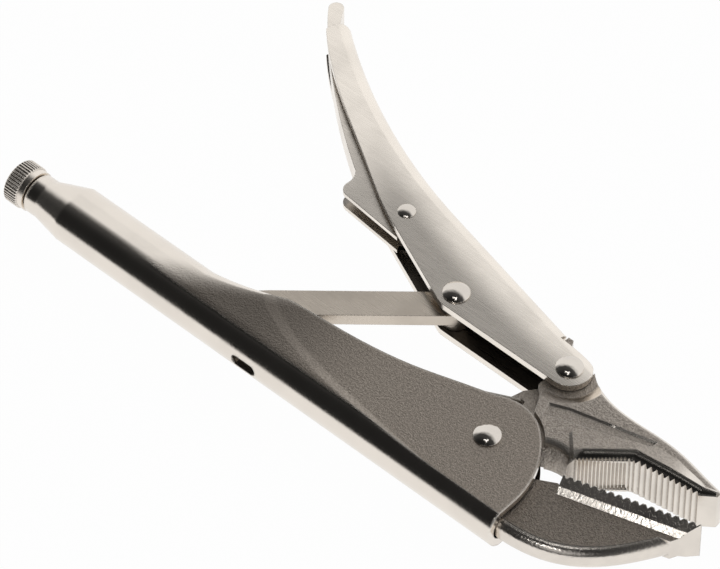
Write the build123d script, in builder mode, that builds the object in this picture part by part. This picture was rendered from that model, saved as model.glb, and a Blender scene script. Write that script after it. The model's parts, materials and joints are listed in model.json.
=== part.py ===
from build123d import *
import os
from math import atan2, cos, degrees, hypot, pi, radians, sin, sqrt, tan

# Locking pliers lying on their side with the grips open: jaws to +X, grips to -X.
# Millimetres and degrees. The pieces are drawn about the main pivot, in the middle plane of the tool.

# Sheet metal and running fits
sheet = 3.0
channel_gap = 12.0
side_clearance = 0.3
pin_fit = 0.05
weld_gap = 0.05

# Pivots, seen from the main pivot at 0, 0
lever_pivot_x = 1.0
lever_pivot_y = 44.7
link_pivot_back = 55.0
link_pivot_drop = 0.9
release_pivot_back = 96.0
release_pivot_rise = 17.0
link_length = 96.0

# Fixed handle
handle_drop = 30.35
roll_radius = 9.8
tube_depth = 24.3
tube_reach = 192.0
shoulder_length = 13.0
neck_length = 6.0
neck_diameter = 16.2
neck_bevel = 0.8
throat_room = 2.2
hump_reach = 98.0
hump_drop = 0.4
hump_blend = 32.0
hump_edge_radius = 1.0
tube_flat = 0.8
cheek_radius = 19.5
cheek_front = 27.3
cheek_front_drop = 18.0
panel_wall_run = 4.0
crease_drop = 25.2
crease_middle_reach = 50.0
crease_middle_drop = 19.2
crease_reach = 110.0
crease_rise = 3.0
hump_points = ((-71.5, 2.0), (-40.0, 7.5), (-20.0, 13.7))
seam_width = 0.5
spring_slot_reach = 94.0
spring_slot_length = 12.0
spring_slot_width = 4.8

# Fixed jaw
mouth_rear_x = 32.4
mouth_rear_y = 5.0
throat_front = (31.6, 3.0)
throat_rear = (25.9, -0.2)
mouth_slope = 16.9
mouth_length = 54.4
rail_half = 9.0
rail_bevel = 4.2
rail_bevel_drop = 2.1
rail_wall = 2.3
rail_depth = 9.0
rail_teeth = 17
rail_tooth_depth = 1.0
jaw_panel_half = 5.0
jaw_edge_radius = 4.0
jaw_weld_radius = 5.0
jaw_weld_front = 17.0
jaw_tang_reach = 16.0
belly_middle = 58.6
belly_middle_drop = 16.6
jaw_tip_slant = 26.0

# Movable jaw
head_half = 8.75
crown_radius = 3.0
neck_radius = 2.5
tang_radius = 15.0
tang_gap = 0.7
step_radius = 21.0
boss_radius = 8.6
nub_height = 13.0
nub_width = 2.4
tail_half = 3.0
tail_hole_x = -4.6
tail_hole_y = 24.0
tail_hole_radius = 1.3
grip_teeth = 14
nose_teeth = 11
corner_teeth = 2
grip_tooth_depth = 0.6
nose_tooth_depth = 1.05
panel_depth = 0.7
panel_draft = 0.8
ramp_low_radius = 12.0
ramp_high_radius = 17.0
grip_rear = (30.7, 12.5)
grip_front = (45.0, 25.6)
nose_rear = (48.2, 26.7)
nose_front = (74.9, 30.4)
beak_tip = (80.4, 34.6)
beak_top = (80.4, 36.9)
crown_points = ((8.0, 51.0), (14.5, 46.5), (27.0, 43.2), (46.0, 43.2), (56.0, 42.8), (67.0, 40.8), (78.0, 38.6))
lip_low = (29.6, 9.9)
neck_points = ((27.5, 13.0), (24.0, 13.8))
head_rear_points = ((4.2, 22.4), (2.0, 27.0), (0.9, 29.4), (0.5, 32.0), (8.0, 44.0))
tang_points = (
    (-14.0, 5.0), (-10.0, 17.0), (-8.9, 23.5), (-7.4, 28.8), (-4.0, 33.0), (-4.0, 44.7),
    (8.0, 50.0), (12.0, 47.0), (26.0, 42.0), (26.0, 14.5), (20.5, 13.6), (14.5, 10.0), (14.0, -5.0),
)
tail_points = ((-20.0, 19.0), (4.0, 19.0), (3.4, 22.2), (1.2, 27.0), (-1.5, 30.8), (-5.2, 34.3), (-20.0, 36.0))
panel_points = ((8.0, 21.4), (6.2, 27.2), (13.4, 30.4), (47.9, 39.6), (47.4, 35.6))

# Brow along the mouth: tooth-line point, lean, depth of its ridge, depth of its foot, rise
brow_stations = (
    ((28.4, 13.2), 132.5, 2.0, 12.0, 0.3),
    ((30.7, 12.5), 132.5, 4.3, 15.0, 2.1),
    ((46.8, 26.4), 115.0, 4.5, 12.5, 2.1),
    ((60.0, 28.4), 98.0, 4.0, 10.0, 2.0),
    ((74.9, 30.4), 100.0, 3.4, 5.4, 1.5),
    ((79.8, 34.2), 115.0, 1.6, 2.6, 0.8),
)

# Moving handle
lever_end_radius = 8.8
lever_corner_radius = 7.6
lever_back_radius = 5.0
lever_reach = 177.0
lever_end_rise = 74.8
lever_end_lean = 6.0
lever_end_depth = 8.0
lever_end_bulge = 1.5
back_height = 12.8
back_slope = 13.6
back_straight = 71.0
inner_slope = 24.2
inner_straight = 44.0
inner_points = ((-123.9, 25.2), (-147.0, 39.4))
web_start = 12.0
web_gap = 0.5

# Release lever
release_half = 4.5
release_sheet = 1.8
release_web = 1.8
release_boss = 6.0
blade_slope = 33.0
blade_depth = 5.0
tongue_width = 6.2
blade_start_back = 31.5
blade_start_rise = 5.6
blade_end_back = 89.4
blade_end_rise = 53.2
tongue_back = 97.0
tongue_rise = 62.0
ear_front = (3.5, -9.3)
ear_rear = (-25.0, -6.3)
ear_tip = (-29.2, -1.6)
ear_radius = 4.2
boss_top = (-3.0, 5.2)

# Rivets
rivet_radius = 4.0
rivet_head_radius = 5.3
rivet_head_height = 2.0
rivet_rim = 0.5
small_rivet_radius = 2.4
small_head_radius = 3.5
small_head_height = 1.1
small_rim = 0.3

# Toggle link
link_width = 12.0
link_thickness = 5.3
link_end_radius = 4.5
link_taper = 26.0

# Adjusting screw and knob
screw_drop = 19.9
screw_radius = 4.9
thread_pitch = 1.5
thread_depth = 0.8
screw_tip_gap = 4.9
screw_point_length = 4.0
screw_point_bevel = 0.8
spigot_radius = 3.0
spigot_length = 7.0
knob_radius = 9.0
knurl_length = 6.6
knob_collar_length = 2.6
knob_collar_radius = 8.4
knob_gap = 0.3
knurl_count = 44
knurl_depth = 0.45
knob_bevel = 0.5

# Return spring
wire = 1.2
coil_radius = 4.0
coil_turns = 28
coil_pitch = 2.1
coil_start = 18.0
hook_radius = 1.6
hook_tail = 2.4
anchor_rise = 2.2
anchor_tail = 2.2

# Worked out from the sizes above
gap_half = channel_gap / 2
cheek_half = gap_half + sheet
tang_half = gap_half - side_clearance
jaw_half = gap_half - weld_gap
handle_floor = -handle_drop
tube_top = handle_floor + tube_depth
cavity_floor = handle_floor + sheet
cavity_top = tube_top - sheet
neck_start = -(tube_reach + shoulder_length)
neck_end = neck_start - neck_length
hump_top = -hump_drop
tube_start = -(hump_reach + hump_blend)
reach_over = 60.0
link_pivot_x = lever_pivot_x - link_pivot_back
link_pivot_y = lever_pivot_y - link_pivot_drop
release_pivot_x = lever_pivot_x - release_pivot_back
release_pivot_y = lever_pivot_y + release_pivot_rise
link_end_y = -screw_drop
link_end_x = link_pivot_x - sqrt(link_length**2 - (link_pivot_y - link_end_y) ** 2)
throat_reach = throat_room - link_end_x
screw_tip = link_end_x - link_end_radius - screw_tip_gap

lever_plane = Plane((lever_pivot_x, lever_pivot_y, 0))
release_plane = Plane((release_pivot_x, release_pivot_y, 0))
link_plane = Plane((link_pivot_x, link_pivot_y, 0), x_dir=(link_end_x - link_pivot_x, link_end_y - link_pivot_y, 0))
rail_plane = Plane((mouth_rear_x, mouth_rear_y, 0), x_dir=(cos(radians(mouth_slope)), sin(radians(mouth_slope)), 0))


def polar(radius, angle):
    """Point at a radius and an angle in degrees about the main pivot."""
    return (radius * cos(radians(angle)), radius * sin(radians(angle)))


def rolled_section(x, half, floor, top, top_radius):
    """Sketch across the handle at x: round along the floor, with two rounded corners at the top."""
    centre = floor + half
    shoulder = top - top_radius
    flat = half - top_radius
    with BuildSketch(Plane.YZ.offset(x)) as section:
        with BuildLine():
            Line((shoulder, half), (centre, half))
            ThreePointArc((centre, half), (floor, 0), (centre, -half))
            Line((centre, -half), (shoulder, -half))
            RadiusArc((shoulder, -half), (top, -flat), -top_radius)
            Line((top, -flat), (top, flat))
            RadiusArc((top, flat), (shoulder, half), -top_radius)
        make_face()
    return section.sketch


# Fixed handle: cheeks
with BuildPart() as fixed_handle:
    with BuildSketch():
        with BuildLine():
            nose = CenterArc((0, 0), cheek_radius, 50, 65)
            Spline(
                (-hump_reach, hump_top), *hump_points, nose @ 1,
                tangents=((1, 0.12), (sin(radians(115)), -cos(radians(115)))),
            )
            front = TangentArc(nose @ 0, (cheek_front, -cheek_front_drop), tangent=-(nose % 0))
            Polyline(front @ 1, (cheek_front, handle_floor), (-hump_reach, handle_floor), (-hump_reach, hump_top))
        make_face()
    extrude(amount=roll_radius, both=True)
    with BuildSketch(Plane.YZ.offset(-hump_reach)):
        with Locations((handle_floor + roll_radius, 0)):
            Circle(roll_radius)
            Rectangle(reach_over, 2 * roll_radius, align=(Align.MIN, Align.CENTER))
    extrude(amount=hump_reach + reach_over, mode=Mode.INTERSECT)

    # The cheeks close into a tube
    tube_corner = roll_radius - tube_flat / 2
    blend_top = (hump_top + tube_top) / 2 - 0.8
    hump_end = rolled_section(-hump_reach, roll_radius, handle_floor, hump_top, hump_edge_radius)
    hump_middle = rolled_section(-hump_reach - hump_blend / 2, roll_radius, handle_floor, blend_top, 6.0)
    tube_end = rolled_section(tube_start, roll_radius, handle_floor, tube_top, tube_corner)
    loft([hump_end, hump_middle, tube_end])
    extrude(tube_end, amount=-(tube_reach + tube_start))

    # Swaged shoulder and round neck
    neck_half = neck_diameter / 2
    neck_floor = -screw_drop - neck_half
    neck_top = -screw_drop + neck_half
    neck_corner = neck_half - tube_flat / 8
    shoulder_half = (roll_radius + neck_half) / 2
    shoulder_floor = (handle_floor + neck_floor) / 2
    shoulder_top = (tube_top + neck_top) / 2
    shoulder_corner = (tube_corner + neck_corner) / 2 - 0.1
    shoulder_x = -tube_reach - shoulder_length / 2
    loft([
        rolled_section(-tube_reach, roll_radius, handle_floor, tube_top, tube_corner),
        rolled_section(shoulder_x, shoulder_half, shoulder_floor, shoulder_top, shoulder_corner),
        rolled_section(neck_start, neck_half, neck_floor, neck_top, neck_corner),
    ])
    with BuildSketch(Plane.YZ.offset(neck_start)):
        with Locations((-screw_drop, 0)):
            Circle(neck_half)
    extrude(amount=-neck_length)
    chamfer(fixed_handle.faces().sort_by(Axis.X)[0].edges(), neck_bevel)

    # Flat cheeks, pressed in from the roll along the back, with a sloping wall
    crease_slant = 2 * (roll_radius - cheek_half) * sqrt(1 + 2 * panel_wall_run**2)
    for side in (1, -1):
        with BuildSketch(Plane.XY.offset(side * cheek_half)):
            with BuildLine():
                crease = Spline(
                    (0, -crease_drop), (-crease_middle_reach, -crease_middle_drop), (-crease_reach, crease_rise),
                    tangents=((-1, 0.1), (-1, 1)),
                )
                Polyline(
                    crease @ 1, (-crease_reach, reach_over), (reach_over, reach_over), (reach_over, -crease_drop),
                    crease @ 0,
                )
            make_face()
        extrude(amount=crease_slant, dir=(-panel_wall_run, -panel_wall_run, side), mode=Mode.SUBTRACT)

    # Hollow of the tube and the channel, and the open top
    with BuildSketch(Plane.YZ.offset(-tube_reach)):
        with Locations((cavity_floor + gap_half, 0)):
            Circle(gap_half)
        with Locations((cavity_top - gap_half, 0)):
            Circle(gap_half)
        with Locations(((cavity_floor + cavity_top) / 2, 0)):
            Rectangle(cavity_top - cavity_floor - channel_gap, channel_gap)
    extrude(amount=tube_reach + reach_over, mode=Mode.SUBTRACT)
    with BuildSketch(Plane.YZ.offset(-throat_reach)):
        with Locations((cavity_top - gap_half, 0)):
            Rectangle(reach_over, channel_gap, align=(Align.MIN, Align.CENTER))
    extrude(amount=throat_reach + reach_over, mode=Mode.SUBTRACT)

    # Bore of the neck, seam of the tube, rivet hole and spring slot
    with BuildSketch(Plane.YZ.offset(-tube_reach)):
        with Locations((-screw_drop, 0)):
            Circle(screw_radius + pin_fit)
    extrude(amount=-reach_over, mode=Mode.SUBTRACT)
    with BuildSketch():
        with Locations((-throat_reach, cavity_top - sheet)):
            Rectangle(tube_reach - throat_reach, 3 * sheet, align=(Align.MAX, Align.MIN))
    extrude(amount=seam_width / 2, both=True, mode=Mode.SUBTRACT)
    with BuildSketch():
        Circle(rivet_radius + pin_fit)
    extrude(amount=reach_over, both=True, mode=Mode.SUBTRACT)
    with BuildSketch(Plane.XZ.offset(handle_drop + sheet)):
        with Locations((-spring_slot_reach, 0)):
            SlotOverall(spring_slot_length, spring_slot_width)
    extrude(amount=-3 * sheet, mode=Mode.SUBTRACT)

# Fixed jaw: body welded between the cheeks, toothed rail outside
rail_end_x = mouth_rear_x + mouth_length * cos(radians(mouth_slope))
rail_end_y = mouth_rear_y + mouth_length * sin(radians(mouth_slope))
tip_dir = Vector(-sin(radians(jaw_tip_slant)), -cos(radians(jaw_tip_slant)))
jaw_tip = Vector(rail_end_x, rail_end_y) + tip_dir * (rail_depth / cos(radians(jaw_tip_slant + mouth_slope)))
with BuildPart() as fixed_jaw:
    jaw_floor = cavity_floor + gap_half - jaw_weld_radius
    with BuildSketch():
        with BuildLine():
            seat = CenterArc((0, 0), tang_radius + tang_gap, 232, 96)
            belly = Spline(
                (cheek_front, jaw_floor), (belly_middle, -belly_middle_drop), jaw_tip, tangents=((1, 0), (0.55, 1)),
            )
            Polyline(
                belly @ 1, (mouth_rear_x + 3, mouth_rear_y - 3), throat_front, throat_rear, seat @ 1,
            )
            Polyline(seat @ 0, (-jaw_tang_reach, (seat @ 0).Y), (-jaw_tang_reach, jaw_floor), belly @ 0)
        make_face()
    extrude(amount=jaw_panel_half, both=True)
    side_edges = fixed_jaw.edges().filter_by(lambda e: abs(abs(e.center().Z) - jaw_panel_half) < 0.01)
    corner = Vector(cheek_front, jaw_floor)
    fillet(
        side_edges.filter_by(lambda e: min(hypot(v.X - corner.X, v.Y - corner.Y) for v in e.vertices()) < 0.01),
        jaw_edge_radius,
    )
    with BuildSketch(Plane.YZ.offset(-jaw_tang_reach)):
        with Locations((jaw_floor, 0)):
            RectangleRounded(reach_over, 2 * jaw_half, jaw_weld_radius, align=(Align.MIN, Align.CENTER))
        with Locations((-tang_radius - tang_gap, 0)):
            Rectangle(reach_over, 2 * jaw_half, align=(Align.MIN, Align.CENTER), mode=Mode.SUBTRACT)
    extrude(amount=jaw_tang_reach + jaw_weld_front)

    # Rail, highest along the tooth line, then its slanted front end and its teeth
    with BuildSketch(Plane(rail_plane.origin, x_dir=rail_plane.y_dir, z_dir=rail_plane.x_dir)):
        with BuildLine():
            Polyline(
                (0, 0), (0, rail_half), (-rail_bevel, rail_half - rail_bevel_drop),
                (-rail_bevel - rail_wall, jaw_panel_half), (-rail_depth, jaw_panel_half), (-rail_depth, 0),
            )
            mirror(about=Plane.XZ)
        make_face()
    extrude(amount=mouth_length)
    with BuildSketch():
        with BuildLine():
            tooth_end = Vector(rail_end_x, rail_end_y)
            Polyline(
                tooth_end, tooth_end + tip_dir * reach_over, tooth_end + Vector(reach_over, -reach_over),
                tooth_end + Vector(reach_over, 0), close=True,
            )
        make_face()
    extrude(amount=reach_over, both=True, mode=Mode.SUBTRACT)
    with BuildSketch(rail_plane):
        rail_pitch = mouth_length / rail_teeth
        with Locations(*[(rail_pitch * (i + 0.5), 0) for i in range(rail_teeth)]):
            Rectangle(sqrt(2) * rail_tooth_depth, sqrt(2) * rail_tooth_depth, rotation=45)
    extrude(amount=reach_over, both=True, mode=Mode.SUBTRACT)


def panel_outline(z, inset):
    """Outline of the bare panel at height z, drawn in by an inset."""
    with BuildSketch(Plane.XY.offset(z)) as outline:
        with BuildLine():
            Polyline(*panel_points, close=True)
        make_face()
        if inset:
            offset(amount=-inset, kind=Kind.INTERSECTION, mode=Mode.REPLACE)
    return outline.sketch


def brow_section(station):
    """Upright section of the brow, from the tooth line back to where it meets the flat of the head."""
    foot, lean, ridge_depth, foot_depth, rise = station
    inward = (cos(radians(lean)), sin(radians(lean)), 0)
    along = (sin(radians(lean)), -cos(radians(lean)), 0)
    with BuildSketch(Plane((*foot, head_half), x_dir=inward, z_dir=along)) as section:
        with BuildLine():
            TangentArc((ridge_depth, rise), (0, 0), tangent=(-1, 0))
            Polyline((ridge_depth, rise), (foot_depth, 0), (foot_depth, -1), (0, -1), (0, 0))
        make_face()
    return section.sketch


# Movable jaw: head with its rounded crown and neck, tang between the cheeks, brow along the mouth
grip_plane = Plane((*grip_rear, 0), x_dir=(grip_front[0] - grip_rear[0], grip_front[1] - grip_rear[1], 0))
nose_plane = Plane((*nose_rear, 0), x_dir=(nose_front[0] - nose_rear[0], nose_front[1] - nose_rear[1], 0))
corner_plane = Plane((*grip_front, 0), x_dir=(nose_rear[0] - grip_front[0], nose_rear[1] - grip_front[1], 0))
grip_length = hypot(grip_front[0] - grip_rear[0], grip_front[1] - grip_rear[1])
nose_length = hypot(nose_front[0] - nose_rear[0], nose_front[1] - nose_rear[1])
corner_length = hypot(nose_rear[0] - grip_front[0], nose_rear[1] - grip_front[1])
with BuildPart() as movable_jaw:
    with BuildSketch():
        with BuildLine():
            step = ThreePointArc(polar(step_radius, 35), polar(step_radius, 55), polar(step_radius, 76))
            Polyline(step @ 1, *head_rear_points, crown_points[0])
            crown = Spline(*crown_points)
            Polyline(crown @ 1, beak_top, beak_tip, nose_front, nose_rear, grip_front, grip_rear, lip_low)
            neck = Spline(lip_low, *neck_points, step @ 0)
        make_face()
    extrude(amount=head_half, both=True)
    rims = movable_jaw.edges().filter_by(lambda e: abs(abs(e.center().Z) - head_half) < 0.01)
    fillet(rims.filter_by(lambda e: (e.center() - crown.center()).length < head_half + 2), crown_radius)
    rims = movable_jaw.edges().filter_by(lambda e: abs(abs(e.center().Z) - head_half) < 0.01)
    fillet(rims.filter_by(lambda e: (e.center() - neck.center()).length < head_half + 1), neck_radius)
    with BuildSketch():
        Circle(tang_radius)
        with Locations((lever_pivot_x, lever_pivot_y)):
            Circle(boss_radius)
        with BuildLine():
            Polyline(*tang_points, close=True)
        make_face()
        with BuildLine():
            nub_left = lever_pivot_x - web_start + web_gap
            nub_right = nub_left + 2 * nub_width
            nub_top = lever_pivot_y + nub_height
            Polyline(
                (nub_left, lever_pivot_y), (nub_left, nub_top), (nub_left + nub_width, nub_top),
                (nub_right, lever_pivot_y + boss_radius), (nub_right, lever_pivot_y), close=True,
            )
        make_face()
    extrude(amount=tang_half, both=True)
    brow = loft([brow_section(station) for station in brow_stations], ruled=True)
    mirror(brow, about=Plane.XY)

    # Sunk ramp round the rounded end of the moving handle, and the bare recessed panels
    with BuildSketch(Plane.XZ):
        with BuildLine():
            ramp_slope = (ramp_high_radius - ramp_low_radius) / (head_half - tang_half)
            ramp_top = tang_half + sheet * 2
            Polyline(
                (0, tang_half), (ramp_low_radius, tang_half),
                (ramp_low_radius + (ramp_top - tang_half) * ramp_slope, ramp_top), (0, ramp_top), close=True,
            )
        make_face()
    ramp = revolve(axis=Axis.Z, mode=Mode.PRIVATE)
    for side in (1, -1):
        with Locations((lever_pivot_x, lever_pivot_y, 0)):
            add(ramp if side > 0 else mirror(ramp, about=Plane.XY, mode=Mode.PRIVATE), mode=Mode.SUBTRACT)
    panel_ends = [panel_outline(head_half, 0), panel_outline(head_half - panel_depth, panel_draft)]
    panel_cut = loft(panel_ends, ruled=True, mode=Mode.SUBTRACT)
    mirror(panel_cut, about=Plane.XY, mode=Mode.SUBTRACT)
    panel_room = extrude(panel_ends[0], amount=sheet, mode=Mode.SUBTRACT)
    mirror(panel_room, about=Plane.XY, mode=Mode.SUBTRACT)

    # Teeth: fine ones in the grip and round the corner, coarser ones along the nose
    for plane, length, teeth, depth in (
        (grip_plane, grip_length, grip_teeth, grip_tooth_depth),
        (corner_plane, corner_length, corner_teeth, grip_tooth_depth),
        (nose_plane, nose_length, nose_teeth, nose_tooth_depth),
    ):
        with BuildSketch(plane):
            with Locations(*[(length / teeth * (i + 0.5), 0) for i in range(teeth)]):
                Rectangle(sqrt(2) * depth, sqrt(2) * depth, rotation=45)
        extrude(amount=reach_over, both=True, mode=Mode.SUBTRACT)

    # Thin tail with the spring hole, and the two rivet holes
    for side in (1, -1):
        with BuildSketch(Plane.XY.offset(side * tail_half)):
            with BuildLine():
                Polyline(*tail_points, close=True)
            make_face()
        extrude(amount=side * reach_over, mode=Mode.SUBTRACT)
    with BuildSketch():
        Circle(rivet_radius + pin_fit)
        with Locations((lever_pivot_x, lever_pivot_y)):
            Circle(rivet_radius + pin_fit)
        with Locations((tail_hole_x, tail_hole_y)):
            Circle(tail_hole_radius)
    extrude(amount=reach_over, both=True, mode=Mode.SUBTRACT)

# Moving handle, drawn about its pivot on the movable jaw
back_dir = Vector(-cos(radians(back_slope)), sin(radians(back_slope)))
inner_dir = Vector(-cos(radians(inner_slope)), sin(radians(inner_slope)))
back_start = Vector(-web_start, back_height)
back_bend = back_start + back_dir * back_straight
back_end = Vector(-lever_reach, lever_end_rise)
link_boss = Vector(-link_pivot_back, -link_pivot_drop)
corner_end = link_boss + Vector(*polar(lever_corner_radius, 270 - inner_slope))
inner_bend = corner_end + inner_dir * inner_straight
inner_end = back_end + Vector(-lever_end_lean, -lever_end_depth)
with BuildPart() as moving_handle:
    with BuildSketch(lever_plane):
        with BuildLine():
            end_arc = CenterArc((0, 0), lever_end_radius, 270, 180)
            Polyline(end_arc @ 1, (-web_start, lever_end_radius), back_start, back_bend)
            back_arc = TangentArc(back_bend, back_end, tangent=back_dir)
            Spline(inner_bend, *inner_points, inner_end, tangents=(inner_dir, (-lever_end_depth, lever_end_depth)))
            end_mid = (back_end + inner_end) / 2 + Vector(-lever_end_bulge, lever_end_bulge / 2)
            ThreePointArc(back_end, end_mid, inner_end)
            Line(corner_end, inner_bend)
            corner = CenterArc(link_boss, lever_corner_radius, 270 - inner_slope, inner_slope)
            Line(corner @ 1, end_arc @ 0)
        make_face()
    extrude(amount=cheek_half, both=True)
    back_edges = moving_handle.edges().filter_by(lambda e: abs(abs(e.center().Z) - cheek_half) < 0.01)
    back_edges = back_edges.filter_by(
        lambda e: min(
            (lever_plane.to_local_coords(e @ 0.5) - (back_start + back_bend) / 2).length,
            (lever_plane.to_local_coords(e @ 0.5) - back_arc @ 0.5).length,
        ) < cheek_half + 1
    )
    fillet(back_edges, lever_back_radius)
    roof_drop = Vector(-sin(radians(back_slope)), -cos(radians(back_slope))) * sheet
    end_tangent = back_arc % 1
    roof_end = back_end + Vector(-end_tangent.Y, end_tangent.X) * sheet
    roof_start = back_start + roof_drop
    with BuildSketch(lever_plane):
        with BuildLine():
            roof = TangentArc(back_bend + roof_drop, roof_end, tangent=back_dir)
            far_end = roof_end + end_tangent * reach_over
            Polyline(
                roof @ 0, roof_start, (-web_start, reach_over), (reach_over, reach_over), (reach_over, -reach_over),
                (-link_pivot_back, -reach_over), (far_end.X, 0), far_end, roof @ 1,
            )
        make_face()
    extrude(amount=gap_half, both=True, mode=Mode.SUBTRACT)
    with BuildSketch(lever_plane):
        with Locations((0, 0), link_boss):
            Circle(rivet_radius + pin_fit)
        with Locations((-release_pivot_back, release_pivot_rise)):
            Circle(small_rivet_radius + pin_fit)
    extrude(amount=reach_over, both=True, mode=Mode.SUBTRACT)

# Toggle link, drawn along its own length from the lever's rivet
with BuildPart() as toggle_link:
    half_width = link_width / 2
    with BuildSketch(link_plane):
        Circle(half_width)
        with Locations((link_length, 0)):
            Circle(link_end_radius)
        with BuildLine():
            Polyline(
                (0, half_width), (link_length - link_taper, half_width), (link_length, link_end_radius),
                (link_length, -link_end_radius), (link_length - link_taper, -half_width), (0, -half_width),
                close=True,
            )
        make_face()
    extrude(amount=link_thickness / 2, both=True)
    with BuildSketch(link_plane):
        Circle(half_width)
    extrude(amount=tang_half, both=True)
    with BuildSketch(link_plane):
        Circle(rivet_radius + pin_fit)
    extrude(amount=reach_over, both=True, mode=Mode.SUBTRACT)

# Release lever, drawn about its own rivet
blade_dir = Vector(-cos(radians(blade_slope)), sin(radians(blade_slope)))
blade_start = Vector(-blade_start_back, blade_start_rise)
blade_end = Vector(-blade_end_back, blade_end_rise)
tongue_end = Vector(-tongue_back, tongue_rise)
with BuildPart() as release_lever:
    with BuildSketch(release_plane):
        Circle(release_boss)
        with BuildLine():
            blade = TangentArc(blade_start, blade_end, tangent=blade_dir)
            tongue = TangentArc(blade_end, tongue_end, tangent=blade % 1)
            tip_out = tongue % 1
            tip_in = Vector(tip_out.Y, -tip_out.X) * tongue_width
            ThreePointArc(tongue_end, tongue_end + (tip_in + tip_out * tongue_width) / 2, tongue_end + tip_in)
            spine = [blade @ t + Vector((blade % t).Y, -(blade % t).X) * blade_depth for t in (1, 0.85, 0.5, 0.1)]
            Spline(tongue_end + tip_in, *spine, boss_top)
            Polyline(boss_top, ear_front, ear_rear)
            RadiusArc(ear_rear, ear_tip, ear_radius)
            Spline(ear_tip, blade_start, tangents=((0.25, 1), blade_dir))
        make_face()
    extrude(amount=release_half, both=True)
    with BuildSketch(release_plane):
        with BuildLine():
            lift = Vector(blade_dir.Y, -blade_dir.X) * release_web
            end_lift = Vector((blade % 1).Y, -(blade % 1).X) * release_web
            inside = TangentArc(blade_start + lift, blade_end + end_lift, tangent=blade_dir)
            Polyline(
                inside @ 1, inside @ 1 + end_lift * tongue_width, (2 * release_boss, blade_end_rise),
                (2 * release_boss, -2 * release_boss), (-blade_start_back, -2 * release_boss), inside @ 0,
            )
        make_face()
    extrude(amount=release_half - release_sheet, both=True, mode=Mode.SUBTRACT)
    with BuildSketch(release_plane):
        Circle(small_rivet_radius + pin_fit)
    extrude(amount=reach_over, both=True, mode=Mode.SUBTRACT)


def rivet_half(shank, head, height, rim):
    """Half profile of a rivet with a domed head, from the middle plane up."""
    with BuildSketch(Plane.XZ) as profile:
        with BuildLine():
            Polyline((0, 0), (shank, 0), (shank, cheek_half), (head, cheek_half), (head, cheek_half + rim))
            crest = (0, cheek_half + height)
            TangentArc(crest, (head, cheek_half + rim), tangent=(1, 0))
            Line(crest, (0, 0))
        make_face()
    return profile.sketch


# Rivets: the large ones at the three main pivots, a small one at the release lever
with BuildPart() as main_pivot_rivet:
    revolve(rivet_half(rivet_radius, rivet_head_radius, rivet_head_height, rivet_rim), axis=Axis.Z)
    mirror(about=Plane.XY)

with BuildPart() as jaw_handle_rivet:
    add(main_pivot_rivet.part.moved(Location((lever_pivot_x, lever_pivot_y, 0))))

with BuildPart() as link_rivet:
    add(main_pivot_rivet.part.moved(Location((link_pivot_x, link_pivot_y, 0))))

with BuildPart() as release_rivet:
    small_profile = rivet_half(small_rivet_radius, small_head_radius, small_head_height, small_rim)
    revolve(small_profile.moved(Location(release_plane.origin)), axis=Axis(release_plane.origin, (0, 0, 1)))
    mirror(about=Plane.XY)

# Adjusting screw: threaded shank with a plain tip and a spigot for the knob
with BuildPart() as adjusting_screw:
    root = screw_radius - thread_depth
    threads = int((screw_tip - screw_point_length - neck_end) / thread_pitch)
    thread_start = screw_tip - screw_point_length - threads * thread_pitch
    with BuildSketch():
        with BuildLine():
            profile = [(thread_start - spigot_length, 0), (thread_start - spigot_length, spigot_radius)]
            profile.append((thread_start, spigot_radius))
            for i in range(threads):
                x = thread_start + i * thread_pitch
                profile.append((x, root))
                profile.append((x + thread_pitch / 2, screw_radius))
            profile.append((screw_tip - screw_point_length, root))
            profile.append((screw_tip - screw_point_bevel, root))
            profile.append((screw_tip, root - screw_point_bevel))
            profile.append((screw_tip, 0))
            Polyline(*profile, close=True)
        make_face()
    revolve(axis=Axis.X)

# Adjusting knob: plain collar, then the knurl
with BuildPart() as adjusting_knob:
    knob_start = neck_end - knob_gap
    with BuildSketch(Plane.YZ.offset(knob_start)):
        Circle(knob_collar_radius)
    extrude(amount=-knob_collar_length)
    with BuildSketch(Plane.YZ.offset(knob_start - knob_collar_length)):
        Circle(knob_radius)
    extrude(amount=-knurl_length)
    chamfer(adjusting_knob.edges().filter_by(GeomType.CIRCLE).group_by(SortBy.RADIUS)[-1], knob_bevel)
    with BuildSketch(Plane.YZ.offset(knob_start - knob_collar_length)):
        with PolarLocations(knob_radius, knurl_count):
            Rectangle(sqrt(2) * knurl_depth, sqrt(2) * knurl_depth, rotation=45)
    extrude(amount=-knurl_length, mode=Mode.SUBTRACT)
    with BuildSketch(Plane.YZ.offset(knob_start)):
        Circle(spigot_radius + pin_fit)
    extrude(amount=-spigot_length, mode=Mode.SUBTRACT)


# Return spring, drawn along its own axis from the hole in the jaw's tail
hole = Vector(tail_hole_x, tail_hole_y)
anchor_x = -spring_slot_reach + (spring_slot_length - spring_slot_width) / 2
anchor = Vector(anchor_x, cavity_floor + anchor_rise)
lead = coil_pitch / (2 * pi)
coil_angle = atan2(coil_radius, lead)
bend_shift = hook_radius * (1 - cos(coil_angle))
bend_advance = hook_radius * sin(coil_angle)
run_side = bend_shift + coil_radius
run = sqrt((anchor - hole).length ** 2 - run_side**2)
heading = atan2(anchor.Y - hole.Y, anchor.X - hole.X) - atan2(run_side, run)
bend_turn = -pi / 2 - heading
if bend_turn < 0:
    bend_turn = bend_turn + 2 * pi
bend_cut = hook_radius * tan(bend_turn / 2)
bend_out = Vector(cos(bend_turn), sin(bend_turn))


def coil_point(turn):
    """Point of the coil after a number of turns."""
    angle = 2 * pi * turn
    side = bend_shift + coil_radius * sin(angle)
    return Vector(coil_start + coil_pitch * turn, side, coil_radius * cos(angle))


def coil_heading(turn):
    """Direction of the wire after a number of turns."""
    angle = 2 * pi * turn
    return Vector(lead, coil_radius * cos(angle), -coil_radius * sin(angle)).normalized()


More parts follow.
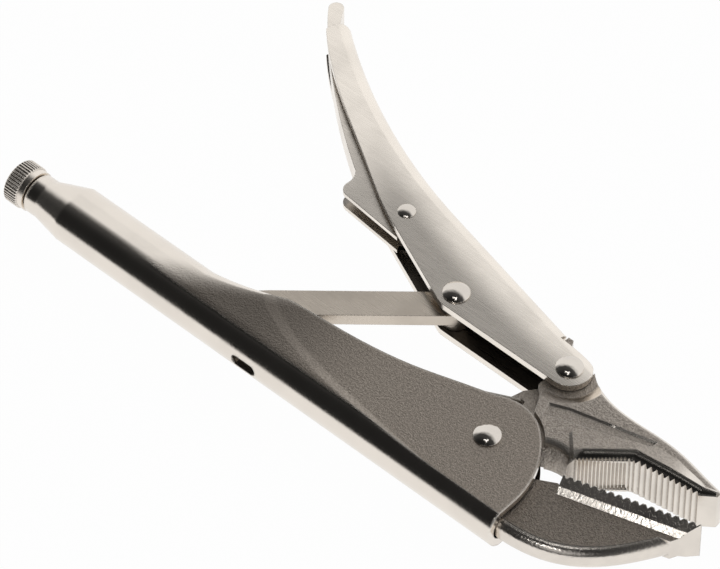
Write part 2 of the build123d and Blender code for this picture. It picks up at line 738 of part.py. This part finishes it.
def biarc(turn, step):
    """Two tangent arcs that carry the wire one step along the coil."""
    start = coil_point(turn)
    end = coil_point(turn + step)
    start_dir = coil_heading(turn)
    end_dir = coil_heading(turn + step)
    chord = end - start
    both = start_dir + end_dir
    spread = 2 * (1 - start_dir.dot(end_dir))
    reach = (sqrt(chord.dot(both) ** 2 + spread * chord.dot(chord)) - chord.dot(both)) / spread
    start_knee = start + start_dir * reach
    end_knee = end - end_dir * reach
    middle = (start_knee + end_knee) / 2
    return (start, start_dir, middle, (end_knee - start_knee).normalized(), end)


with BuildPart() as return_spring:
    with BuildLine() as wire_path:
        Line((0, 0, coil_radius - hook_radius - hook_tail), (0, 0, coil_radius - hook_radius))
        TangentArc((0, 0, coil_radius - hook_radius), (hook_radius, 0, coil_radius), tangent=(0, 0, 1))
        Line((hook_radius, 0, coil_radius), (coil_start - bend_advance, 0, coil_radius))
        TangentArc((coil_start - bend_advance, 0, coil_radius), coil_point(0), tangent=(1, 0, 0))
        for half_turn in range(2 * coil_turns):
            start, start_dir, middle, middle_dir, end = biarc(half_turn / 2, 0.5)
            TangentArc(start, middle, tangent=start_dir)
            TangentArc(middle, end, tangent=middle_dir)
        start, start_dir, middle, middle_dir, end = biarc(coil_turns, 0.25)
        TangentArc(start, middle, tangent=start_dir)
        TangentArc(middle, end, tangent=middle_dir)
        run_start = end + Vector(bend_advance, 0, -bend_shift)
        run_end = Vector(run - bend_cut, run_side, -bend_shift)
        bend_end = run_end + Vector(bend_cut, 0) + bend_out * bend_cut
        TangentArc(end, run_start, tangent=coil_heading(coil_turns + 0.25))
        Line(run_start, run_end)
        TangentArc(run_end, bend_end, tangent=(1, 0, 0))
        Line(bend_end, bend_end + bend_out * anchor_tail)
    with BuildSketch(Plane(wire_path.line @ 0, z_dir=wire_path.line % 0)):
        Circle(wire / 2)
    sweep()

# Least gap of the spring to itself, on points along the wire
wire_points = [edge @ (k / 8) for edge in wire_path.edges() for k in range(8)]
wire_length = [0.0]
for near, far in zip(wire_points, wire_points[1:]):
    wire_length.append(wire_length[-1] + (far - near).length)
least = min(
    (wire_points[i] - wire_points[j]).length
    for i in range(len(wire_points))
    for j in range(i)
    if wire_length[i] - wire_length[j] > pi * hook_radius + wire
)
print(f"spring: least gap to itself {least - wire:.2f} mm")

# Set the pieces in place, then stand the whole on the middle of its box
adjusting_screw.part.move(Location((0, -screw_drop, 0)))
adjusting_knob.part.move(Location((0, -screw_drop, 0)))
return_spring.part.move(Location((hole.X, hole.Y, 0), (0, 0, degrees(heading))))
pieces = {
    "fixed_handle": fixed_handle,
    "fixed_jaw": fixed_jaw,
    "movable_jaw": movable_jaw,
    "moving_handle": moving_handle,
    "toggle_link": toggle_link,
    "release_lever": release_lever,
    "main_pivot_rivet": main_pivot_rivet,
    "jaw_handle_rivet": jaw_handle_rivet,
    "link_rivet": link_rivet,
    "release_rivet": release_rivet,
    "adjusting_screw": adjusting_screw,
    "adjusting_knob": adjusting_knob,
    "return_spring": return_spring,
}
boxes = [piece.part.bounding_box() for piece in pieces.values()]
low = Vector(*[min(getattr(box.min, axis) for box in boxes) for axis in "XYZ"])
high = Vector(*[max(getattr(box.max, axis) for box in boxes) for axis in "XYZ"])
datum = Vector(-(low.X + high.X) / 2, -(low.Y + high.Y) / 2, -low.Z)
os.makedirs("parts", exist_ok=True)
for label, piece in pieces.items():
    piece.part.move(Location(datum))
    piece.part.label = label
    export_step(piece.part, f"parts/{label}.step")
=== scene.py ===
import json
import math

import bpy
from mathutils import Matrix, Vector


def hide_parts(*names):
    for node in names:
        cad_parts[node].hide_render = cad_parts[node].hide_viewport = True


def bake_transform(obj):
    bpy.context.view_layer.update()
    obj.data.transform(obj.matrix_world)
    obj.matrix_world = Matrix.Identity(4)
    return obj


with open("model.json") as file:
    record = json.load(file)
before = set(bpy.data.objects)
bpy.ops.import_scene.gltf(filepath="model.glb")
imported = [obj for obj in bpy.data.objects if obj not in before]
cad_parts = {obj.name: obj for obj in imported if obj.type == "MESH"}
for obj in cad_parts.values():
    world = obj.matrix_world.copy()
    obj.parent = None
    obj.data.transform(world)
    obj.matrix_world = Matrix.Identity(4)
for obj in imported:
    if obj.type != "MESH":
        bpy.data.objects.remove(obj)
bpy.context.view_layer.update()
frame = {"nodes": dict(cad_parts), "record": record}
nodes = frame["nodes"]
joints = frame["record"]["behaviour"]["joints"]

# All places are in metres and counted from the main pivot, unless a comment says otherwise
MM = 0.001
MAIN_PIVOT = Vector(next(j["pos_m"] for j in joints if j["name"] == "jaw_close"))

# Camera
CAMERA_AT = MAIN_PIVOT + Vector((0.79443, -0.94198, 1.50942))
CAMERA_TO = MAIN_PIVOT + Vector((-0.08864, 0.02850, 0.0))
LENS = 266.3
SENSOR_WIDTH = 36.0
CAMERA_REACH = 20.0

# Return spring in millimetres, from the hole in the jaw's tail to the slot in the handle
SPRING_HOLE = (-4.6, 24.0)
SPRING_ANCHOR = (-90.4, -25.15)
WIRE = 1.2
COIL_RADIUS = 4.0
COIL_TURNS = 28
COIL_END_TURN = 0.25
COIL_PITCH = 2.1
COIL_START = 18.0
HOOK_RADIUS = 1.6
HOOK_TAIL = 2.4
ANCHOR_TAIL = 2.2
COIL_STEPS = 28
HOOK_STEPS = 6
WIRE_ROUNDNESS = 3

# Room: directions of its dark side and of a paler patch in it, seen from the tool
DARK_SIDE = (-0.034, -0.710, 0.7035)
FILL_SIDE = (0.300, -0.799, 0.521)

# A ramp holds the input where it starts and ends, then the output there, which is 0 and 1 where none is given
ROOM_FALL = (0.18, 0.50, 1.0, 0.06)
DEEP_FALL = (0.50, 0.90, 1.0, 0.25)
FILL_RISE = (0.92, 0.985, 0.0, 0.5)

# Lamps: name, place, size in metres, power in watts
LAMPS = (
    ("glint", (0.13, -0.79, 0.89), (0.10, 0.10), 0.6),
    ("strip_left", (-0.13, -0.04, 1.0), (0.05, 0.26), 0.12),
    ("strip_right", (0.01, -0.04, 1.0), (0.05, 0.26), 0.12),
)

# Floor: the white that the camera and reflections see, and the paper that light falls on
FLOOR_SIZE = 6.0
FLOOR_DROP = 0.0002
FLOOR_WHITE = 0.98
PAPER = (0.92, 0.92, 0.92, 1.0)

# Tints of the metal
BRIGHT = (0.90, 0.835, 0.755, 1.0)
WARM = (0.80, 0.74, 0.67, 1.0)
GREY = (0.36, 0.315, 0.27, 1.0)
PALE_GREY = (0.46, 0.41, 0.36, 1.0)
DARK_GREY = (0.27, 0.235, 0.20, 1.0)
DULL = (0.64, 0.57, 0.49, 1.0)
KNURL = (0.86, 0.79, 0.71, 1.0)
THREAD = (0.50, 0.46, 0.41, 1.0)
RIVET = (0.72, 0.67, 0.61, 1.0)
SPRING_STEEL = (0.45, 0.42, 0.38, 1.0)
# Paler tint of the edges: wear and painted highlight
WORN_HIGHLIGHT = (0.86, 0.82, 0.76, 1.0)

# Skin of the metal: scales of its noises, ramps over them, and shares of a tint that are left
CLOUD_SCALE = 55.0
CLOUD_TINT = (0.35, 0.7)
CLOUD_ROUGH = (0.3, 0.7)
CLOUD_ROUGH_DOWN = 0.02
CLOUD_ROUGH_UP = 0.03
FINE_SCALE = 900.0
FINE_HEIGHT = 0.06
BRUSH_STRETCH = (40.0, 2600.0, 900.0)
BRUSH_ROUGH = (0.3, 0.7, -0.04, 0.06)
SPECK_SCALE = 1900.0
SPECK_SHARE = 0.8
PIT_SCALE = 1000.0
PIT_SHARE = 0.7
GRAIN = (0.55, 0.95)
GRAIN_ROUGH_UP = 0.06
GRAIN_ROUGH_DOWN = 0.10
PIT_TINT = 0.70
# Share of the dark tint left where the skin turns darker towards the rear
REAR_DARK_TINT = 0.42
# Paler, smoother edges from wear and painted highlight: the ramp over the edge's likeness, the share of the
# paler tint, and the roughness
EDGE_WEAR_AND_HIGHLIGHT = (0.998, 0.90)
WORN_HIGHLIGHT_SHARE = 0.45
WORN_ROUGH = 0.7
WORN_SMOOTH = 0.8
# Painted shade in the nooks: how far the ambient occlusion looks, its ramp, and the share of the tint left
NOOK_REACH = 0.0012
NOOK_SHADE = (0.45, 0.95, 0.6, 0.0)
NOOK_SHADE_TINT = 0.25
# Painted shade deep in the channels: depth below the pivot, how far up the faces turn, and the share of the
# tint left
INSIDE_DEPTH = (-0.0012, -0.004)
INSIDE_UP = (0.5, 0.9)
INSIDE_SHADE = 0.08
# Painted dark reflection on the bevels along the mouth: how upright they are and how far they face -Y
BEVEL_SHADE_UPRIGHT = (0.45, 0.60)
BEVEL_SHADE_FACING = (-0.03, -0.14)
BUMP_STRENGTH = 0.35
BUMP_DEPTH = 0.0004
NODE_SAMPLES = 4

# Where the blasted skin lies on each piece
CHEEK_FLAT = (0.93, 0.985)
CHEEK_FADE = (-0.118, -0.084)
CHEEK_FADE_HEIGHT = 0.002
CHEEK_FADE_SLANT = 1.75
# Stretch along X over which the cheek's skin turns darker towards the rear
CHEEK_DARKER_REAR = (-0.105, -0.045)
FORGING_FLAT = (0.90, 0.97)
FORGING_FACING = (-0.13, -0.04)
NECK_X = (0.0320, 0.0290)
NECK_Y = (0.036, 0.032)

# Lean of the flanks, and the lever's back as a parabola between a near and a far place along -X
FLANK = (0.9, 0.99)
LINK_LEAN = -0.06
TRIGGER_LEAN = (-0.170, -0.115, 0.0, -0.11)
LEVER_LEAN = (0.003, 0.019, 0.0, -0.13)
LEVER_FADE = (-0.140, -0.095)
BACK_NEAR = 0.011
BACK_FAR = 0.080
BACK_HEIGHT = 0.0575
BACK_SLOPE = 0.242
BACK_BEND = 1.393


class Graph:
    """Short calls to add and join shader nodes in the emptied tree of a material or world."""

    def __init__(self, owner):
        owner.use_nodes = True
        self.tree = owner.node_tree
        self.tree.nodes.clear()

    def node(self, kind, **settings):
        made = self.tree.nodes.new(kind)
        for key, value in settings.items():
            setattr(made, key, value)
        return made

    def set(self, socket, value):
        if hasattr(value, "is_linked"):
            self.tree.links.new(value, socket)
        else:
            socket.default_value = value

    def math(self, operation, a, b=0.0, clamp=False):
        made = self.node("ShaderNodeMath", operation=operation, use_clamp=clamp)
        self.set(made.inputs[0], a)
        self.set(made.inputs[1], b)
        return made.outputs[0]

    def add(self, a, b):
        return self.math("ADD", a, b)

    def times(self, a, b):
        return self.math("MULTIPLY", a, b)

    def minus(self, a, b):
        return self.math("SUBTRACT", a, b)

    def vector(self, operation, a, b):
        made = self.node("ShaderNodeVectorMath", operation=operation)
        self.set(made.inputs[0], a)
        self.set(made.inputs[1], b)
        return made.outputs["Value" if operation == "DOT_PRODUCT" else "Vector"]

    def split(self, vector):
        made = self.node("ShaderNodeSeparateXYZ")
        self.set(made.inputs[0], vector)
        return made.outputs

    def ramp(self, value, low, high, out_low=0.0, out_high=1.0):
        made = self.node("ShaderNodeMapRange", interpolation_type="SMOOTHSTEP")
        self.set(made.inputs["Value"], value)
        self.set(made.inputs["From Min"], low)
        self.set(made.inputs["From Max"], high)
        self.set(made.inputs["To Min"], out_low)
        self.set(made.inputs["To Max"], out_high)
        return made.outputs["Result"]

    def mix(self, factor, a, b):
        made = self.node("ShaderNodeMix", data_type="RGBA")
        self.set(made.inputs[0], factor)
        self.set(made.inputs[6], a)
        self.set(made.inputs[7], b)
        return made.outputs[2]

    def blend(self, factor, a, b):
        made = self.node("ShaderNodeMix", data_type="FLOAT")
        self.set(made.inputs[0], factor)
        self.set(made.inputs[2], a)
        self.set(made.inputs[3], b)
        return made.outputs[0]

    def noise(self, vector, scale, detail=2.0, roughness=0.55):
        made = self.node("ShaderNodeTexNoise")
        self.set(made.inputs["Vector"], vector)
        made.inputs["Scale"].default_value = scale
        made.inputs["Detail"].default_value = detail
        made.inputs["Roughness"].default_value = roughness
        return made.outputs["Fac"]

    def stretched(self, vector, scale, turn):
        made = self.node("ShaderNodeMapping")
        self.set(made.inputs["Vector"], vector)
        made.inputs["Scale"].default_value = scale
        made.inputs["Rotation"].default_value = (0.0, 0.0, turn)
        return made.outputs["Vector"]


class Spot:
    """A point on a piece: its place, its three distances from the main pivot, and how its surface faces."""

    def __init__(self, graph):
        coords = graph.node("ShaderNodeTexCoord")
        self.place = coords.outputs["Object"]
        self.x, self.y, self.z = graph.split(graph.vector("SUBTRACT", self.place, MAIN_PIVOT))
        _, self.facing_y, self.facing_z = graph.split(coords.outputs["Normal"])
        self.upright = graph.math("ABSOLUTE", self.facing_z)


def cheek_mask(graph, spot):
    """Flat cheeks of the pressing, fading out where they roll up into the tube."""
    slant = graph.times(graph.minus(spot.y, CHEEK_FADE_HEIGHT), CHEEK_FADE_SLANT)
    along = graph.ramp(graph.minus(spot.x, slant), *CHEEK_FADE)
    return graph.times(graph.ramp(spot.upright, *CHEEK_FLAT), along)


def forging_mask(graph, spot):
    """Sides of a forging, without the slopes that face its mouth."""
    return graph.times(graph.ramp(spot.upright, *FORGING_FLAT), graph.ramp(spot.facing_y, *FORGING_FACING))


def head_mask(graph, spot):
    """Sides of the upper jaw, and all of its neck behind the lip."""
    neck = graph.times(graph.ramp(spot.x, *NECK_X), graph.ramp(spot.y, *NECK_Y))
    return graph.math("MAXIMUM", neck, forging_mask(graph, spot))


def lever_lean(graph, spot):
    """Lean of the lever's flank, none at its back or its upper end and most at its free edge."""
    along = graph.times(spot.x, -1.0)
    near = graph.minus(along, BACK_NEAR)
    far = graph.minus(along, BACK_FAR)
    line = graph.add(graph.times(near, BACK_SLOPE), BACK_HEIGHT)
    back = graph.add(line, graph.times(graph.times(near, far), BACK_BEND))
    depth = graph.minus(back, spot.y)
    return graph.times(graph.ramp(depth, *LEVER_LEAN), graph.ramp(spot.x, *LEVER_FADE))


def link_lean(graph, spot):
    """The same small lean all over the link's flank."""
    return LINK_LEAN


def trigger_lean(graph, spot):
    """Lean of the release lever's flank, none at its tongue and most at its ears."""
    return graph.ramp(spot.x, *TRIGGER_LEAN)


def leaning(graph, spot, normal, lean):
    """Normal of a flank that isn't quite flat, tilted along Y of its own piece."""
    tilt = graph.node("ShaderNodeCombineXYZ")
    graph.set(tilt.inputs[1], graph.times(graph.ramp(spot.upright, *FLANK), lean))
    turned = graph.node(
        "ShaderNodeVectorTransform", vector_type="VECTOR", convert_from="OBJECT", convert_to="WORLD",
    )
    graph.set(turned.inputs[0], tilt.outputs[0])
    level = graph.node("ShaderNodeVectorMath", operation="NORMALIZE")
    graph.set(level.inputs[0], graph.vector("ADD", normal, turned.outputs[0]))
    return level.outputs[0]


def dimmed(tint, share):
    """A tint of which only a share is left."""
    return (*(c * share for c in tint[:3]), 1.0)


def edge_wear_and_highlight(graph, radius):
    """Normal with rounded edges, and how far a point lies on an edge that is made paler and smoother, as wear
    and painted highlight.
    """
    rounded = graph.node("ShaderNodeBevel", samples=NODE_SAMPLES)
    rounded.inputs["Radius"].default_value = radius
    raw = graph.node("ShaderNodeNewGeometry")
    likeness = graph.vector("DOT_PRODUCT", rounded.outputs[0], raw.outputs["Normal"])
    return rounded.outputs[0], graph.ramp(likeness, *EDGE_WEAR_AND_HIGHLIGHT)


def plated(graph, spot, tint, smooth, patch, peel):
    """Colour, roughness and height of plain plating, a little cloudy."""
    cloud = graph.noise(spot.place, CLOUD_SCALE, 3.0)
    colour = graph.mix(graph.ramp(cloud, *CLOUD_TINT), tint, dimmed(tint, 1 - patch))
    rough = graph.ramp(cloud, *CLOUD_ROUGH, smooth - CLOUD_ROUGH_DOWN, smooth + CLOUD_ROUGH_UP)
    strength, scale = peel
    return colour, rough, graph.times(graph.noise(spot.place, scale), strength)


def brushed(graph, spot, rough, height, angle, strength):
    """Roughness and height with brush lines in them."""
    lines = graph.noise(graph.stretched(spot.place, BRUSH_STRETCH, angle), 1.0, 3.0, 0.6)
    height = graph.add(height, graph.times(lines, strength))
    return graph.add(rough, graph.ramp(lines, *BRUSH_ROUGH)), height


def grainy(graph, spot, skin, dark, coarse, grain, mask, darker_rear):
    """Colour, roughness and height with a dark, pitted skin where the mask says, darker towards the rear along
    a stretch of X.
    """
    colour, rough, height = skin
    flat = mask(graph, spot)
    specks = graph.times(graph.noise(spot.place, SPECK_SCALE, 2.0, 0.6), SPECK_SHARE)
    pits = graph.times(graph.noise(spot.place, PIT_SCALE, 2.0, 0.6), PIT_SHARE)
    grains = graph.add(specks, pits)
    shade = graph.mix(graph.ramp(grains, *GRAIN), dimmed(dark, PIT_TINT), dark)
    # The skin turns darker towards the rear along the given stretch of X
    if darker_rear:
        shade = graph.mix(graph.ramp(spot.x, *darker_rear), dimmed(dark, REAR_DARK_TINT), shade)
    pitted = graph.ramp(grains, *GRAIN, coarse + GRAIN_ROUGH_UP, coarse - GRAIN_ROUGH_DOWN)
    height = graph.add(height, graph.times(graph.times(grains, grain), flat))
    return graph.mix(flat, colour, shade), graph.blend(flat, rough, pitted), height


def painted_shade(graph, spot, colour, tint, bevel_shade):
    """Colour with painted shade in the nooks and deep in the channels, and painted dark reflection on the
    bevels along the mouth.
    """
    # Painted shade: ambient occlusion darkens the nooks, grooves and creases
    nook = graph.node("ShaderNodeAmbientOcclusion", samples=NODE_SAMPLES, only_local=True)
    nook.inputs["Distance"].default_value = NOOK_REACH
    colour = graph.mix(graph.ramp(nook.outputs["AO"], *NOOK_SHADE), colour, dimmed(tint, NOOK_SHADE_TINT))
    # Painted shade: upward faces deep below the pivot, in the channels, are made nearly black
    inside = graph.times(graph.ramp(spot.z, *INSIDE_DEPTH), graph.ramp(spot.facing_z, *INSIDE_UP))
    colour = graph.mix(inside, colour, dimmed(tint, INSIDE_SHADE))
    # Painted dark reflection: the mouth's bevels facing the dark side are darkened, which also dims the lamp's
    # glint on them
    if bevel_shade:
        slope = graph.times(
            graph.ramp(spot.upright, *BEVEL_SHADE_UPRIGHT), graph.ramp(spot.facing_y, *BEVEL_SHADE_FACING),
        )
        colour = graph.mix(slope, colour, dimmed(tint, bevel_shade))
    return colour


def nickel(
    name, tint, smooth, edge=0.0004, peel=(0.35, 260.0), patch=0.10,
    brush=None, blasted=None, darker_rear=None, bevel_shade=None, lean=None,
):
    """Nickel-plated steel.

    smooth is its roughness, edge the radius of its edges, peel the strength and scale of its skin, and patch
    how much darker its clouds are. brush gives (angle, strength), blasted (dark tint, roughness, grain, mask),
    then come the stretch along X where that skin turns darker towards the rear, the share of the tint left on
    the bevels of the mouth as painted dark reflection, and lean the tilt of the flanks.
    """
    material = bpy.data.materials.new(name)
    graph = Graph(material)
    spot = Spot(graph)
    normal, wear_and_highlight = edge_wear_and_highlight(graph, edge)
    colour, rough, height = plated(graph, spot, tint, smooth, patch, peel)
    if brush:
        rough, height = brushed(graph, spot, rough, height, *brush)
    if blasted:
        colour, rough, height = grainy(graph, spot, (colour, rough, height), *blasted, darker_rear)
    height = graph.add(height, graph.times(graph.noise(spot.place, FINE_SCALE, 3.0, 0.6), FINE_HEIGHT))
    # Edges are made paler and smoother, as wear and painted highlight
    colour = graph.mix(graph.times(wear_and_highlight, WORN_HIGHLIGHT_SHARE), colour, WORN_HIGHLIGHT)
    rough = graph.blend(graph.times(wear_and_highlight, WORN_ROUGH), rough, smooth * WORN_SMOOTH)
    if lean:
        normal = leaning(graph, spot, normal, lean(graph, spot))

    bump = graph.node("ShaderNodeBump")
    bump.inputs["Strength"].default_value = BUMP_STRENGTH
    bump.inputs["Distance"].default_value = BUMP_DEPTH
    graph.set(bump.inputs["Height"], height)
    graph.set(bump.inputs["Normal"], normal)
    shader = graph.node("ShaderNodeBsdfPrincipled")
    shader.inputs["Metallic"].default_value = 1.0
    graph.set(shader.inputs["Base Color"], painted_shade(graph, spot, colour, tint, bevel_shade))
    graph.set(shader.inputs["Roughness"], rough)
    graph.set(shader.inputs["Normal"], bump.outputs[0])
    out = graph.node("ShaderNodeOutputMaterial")
    graph.set(out.inputs["Surface"], shader.outputs[0])
    return material


def dress():
    """Give every solid its metal: its own, or the polish of the rivets."""
    looks = {
        "fixed_handle": nickel(
            "satin_tube", WARM, 0.16, edge=0.0015, peel=(0.08, 260.0), patch=0.04,
            blasted=(GREY, 0.46, 2.2, cheek_mask), darker_rear=CHEEK_DARKER_REAR,
        ),
        "moving_handle": nickel(
            "satin_lever", BRIGHT, 0.27, peel=(0.12, 260.0), patch=0.06, brush=(0.45, 0.05), lean=lever_lean,
        ),
        "release_lever": nickel(
            "satin_trigger", BRIGHT, 0.26, peel=(0.15, 260.0), brush=(0.7, 0.06), lean=trigger_lean,
        ),
        "toggle_link": nickel(
            "brushed_bar", DULL, 0.30, peel=(0.15, 260.0), brush=(0.72, 0.12), lean=link_lean,
        ),
        "fixed_jaw": nickel(
            "forged_lower", WARM, 0.22, peel=(0.6, 1000.0), blasted=(DARK_GREY, 0.46, 5.0, forging_mask),
        ),
        # The upper jaw's mouth bevels keep 0.3 of the tint, as painted dark reflection
        "movable_jaw": nickel(
            "forged_upper", WARM, 0.22, peel=(0.12, 700.0), blasted=(PALE_GREY, 0.44, 5.0, head_mask),
            bevel_shade=0.3,
        ),
        "adjusting_knob": nickel("dark_knurl", KNURL, 0.30),
        "adjusting_screw": nickel("cut_thread", THREAD, 0.32),
    }
    polished = nickel("polished_rivet", RIVET, 0.10, peel=(0.9, 260.0))
    for name, node in nodes.items():
        node.data.materials.clear()
        node.data.materials.append(looks.get(name, polished))


def arc(centre, across, up, radius, turn):
    """Points of an arc that starts at centre + across * radius and turns towards up."""
    angles = [turn * k / HOOK_STEPS for k in range(HOOK_STEPS + 1)]
    return [centre + (across * math.cos(a) + up * math.sin(a)) * radius for a in angles]


def spring_route():
    """Line of the spring's wire in its own frame, in millimetres, and the angle of its axis."""
    lead = COIL_PITCH / (2 * math.pi)
    climb = math.atan2(COIL_RADIUS, lead)
    shift = HOOK_RADIUS * (1 - math.cos(climb))
    advance = HOOK_RADIUS * math.sin(climb)
    across = Vector(SPRING_ANCHOR) - Vector(SPRING_HOLE)
    side = shift + COIL_RADIUS
    run = math.sqrt(across.length_squared - side**2)
    heading = math.atan2(across.y, across.x) - math.atan2(side, run)
    x, y, z = Vector((1, 0, 0)), Vector((0, 1, 0)), Vector((0, 0, 1))
    points = [Vector((0, 0, COIL_RADIUS - HOOK_RADIUS - HOOK_TAIL))]
    points += arc(Vector((HOOK_RADIUS, 0, COIL_RADIUS - HOOK_RADIUS)), -x, z, HOOK_RADIUS, math.pi / 2)
    points += arc(Vector((COIL_START - advance, HOOK_RADIUS, COIL_RADIUS)), -y, x, HOOK_RADIUS, climb)
    for k in range(1, int(COIL_STEPS * (COIL_TURNS + COIL_END_TURN)) + 1):
        angle = 2 * math.pi * k / COIL_STEPS
        points.append(Vector((
            COIL_START + lead * angle, shift + COIL_RADIUS * math.sin(angle), COIL_RADIUS * math.cos(angle),
        )))
    points += arc(points[-1] + x * HOOK_RADIUS, -x, -z, HOOK_RADIUS, climb)[1:]
    turn = (-math.pi / 2 - heading) % (2 * math.pi)
    cut = HOOK_RADIUS * math.tan(turn / 2)
    points += arc(Vector((run - cut, side + HOOK_RADIUS, points[-1].z)), -y, x, HOOK_RADIUS, turn)
    points.append(points[-1] + Vector((math.cos(turn), math.sin(turn), 0)) * ANCHOR_TAIL)
    return points, heading


def make_spring():
    """Round wire wound from the jaw's tail to the handle's slot."""
    points, heading = spring_route()
    curve = bpy.data.curves.new("spring_wire", "CURVE")
    curve.dimensions = "3D"
    curve.bevel_depth = WIRE / 2 * MM
    curve.bevel_resolution = WIRE_ROUNDNESS
    curve.use_fill_caps = True
    spline = curve.splines.new("POLY")
    spline.points.add(len(points) - 1)
    turned = Matrix.Rotation(heading, 4, "Z")
    start = Vector((*SPRING_HOLE, 0))
    for point, at in zip(spline.points, points):
        point.co = (*(MAIN_PIVOT + (start + turned @ at) * MM), 1.0)
    holder = bpy.data.objects.new("spring_curve", curve)
    bpy.context.collection.objects.link(holder)
    bpy.context.view_layer.update()
    mesh = bpy.data.meshes.new_from_object(holder.evaluated_get(bpy.context.evaluated_depsgraph_get()))
    bpy.data.objects.remove(holder)
    for face in mesh.polygons:
        face.use_smooth = True
    wire = bpy.data.objects.new("wound_spring", mesh)
    bpy.context.collection.objects.link(wire)
    wire.data.materials.clear()
    wire.data.materials.append(nickel("spring_steel", SPRING_STEEL, 0.30, edge=0.0001))
    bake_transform(wire)
    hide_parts("return_spring")


def lay_floor():
    """White floor: plain white to the camera and to reflections, matt paper to all other light."""
    bpy.ops.mesh.primitive_plane_add(size=FLOOR_SIZE, location=(0.0, 0.0, -FLOOR_DROP))
    floor = bpy.context.object
    floor.name = "floor"
    paper = bpy.data.materials.new("white_paper")
    graph = Graph(paper)
    rays = graph.node("ShaderNodeLightPath")
    matt = graph.node("ShaderNodeBsdfDiffuse")
    matt.inputs["Color"].default_value = PAPER
    white = graph.node("ShaderNodeEmission")
    white.inputs["Strength"].default_value = 1.0
    both = graph.node("ShaderNodeMixShader")
    seen = graph.math("ADD", rays.outputs["Is Camera Ray"], rays.outputs["Is Glossy Ray"], clamp=True)
    graph.set(both.inputs[0], graph.times(seen, FLOOR_WHITE))
    graph.set(both.inputs[1], matt.outputs[0])
    graph.set(both.inputs[2], white.outputs[0])
    out = graph.node("ShaderNodeOutputMaterial")
    graph.set(out.inputs["Surface"], both.outputs[0])
    floor.data.materials.append(paper)


def light_room():
    """White room with a dark side, a paler patch in it, and white behind the tool."""
    world = bpy.data.worlds.new("studio")
    bpy.context.scene.world = world
    graph = Graph(world)
    around = graph.node("ShaderNodeTexCoord").outputs["Generated"]
    to_dark = graph.vector("DOT_PRODUCT", around, DARK_SIDE)
    to_fill = graph.vector("DOT_PRODUCT", around, FILL_SIDE)
    room = graph.times(graph.ramp(to_dark, *ROOM_FALL), graph.ramp(to_dark, *DEEP_FALL))
    room = graph.math("MAXIMUM", room, graph.ramp(to_fill, *FILL_RISE))
    rays = graph.node("ShaderNodeLightPath")
    sky = graph.node("ShaderNodeBackground")
    sky.inputs["Color"].default_value = (1.0, 1.0, 1.0, 1.0)
    graph.set(sky.inputs["Strength"], graph.blend(rays.outputs["Is Camera Ray"], room, 1.0))
    out = graph.node("ShaderNodeOutputWorld")
    graph.set(out.inputs["Surface"], sky.outputs[0])


def place(name, data, at, to):
    """New object at a place, looking at another."""
    holder = bpy.data.objects.new(name, data)
    bpy.context.collection.objects.link(holder)
    holder.location = at
    holder.rotation_mode = "QUATERNION"
    holder.rotation_quaternion = (to - at).to_track_quat("-Z", "Y")
    return holder


def hang_lamps():
    """Soft lamps, all turned to the main pivot."""
    for name, at, size, power in LAMPS:
        lamp = bpy.data.lights.new(name, "AREA")
        lamp.shape = "RECTANGLE"
        lamp.size, lamp.size_y = size
        lamp.energy = power
        place(name, lamp, MAIN_PIVOT + Vector(at), MAIN_PIVOT)


def set_camera():
    """Camera at the photograph's viewing angle."""
    camera = bpy.data.cameras.new("camera")
    camera.lens = LENS
    camera.sensor_width = SENSOR_WIDTH
    camera.clip_end = CAMERA_REACH
    bpy.context.scene.camera = place("camera", camera, CAMERA_AT, CAMERA_TO)
    bpy.context.scene.view_settings.view_transform = "Standard"


dress()
make_spring()
lay_floor()
light_room()
hang_lamps()
set_camera()
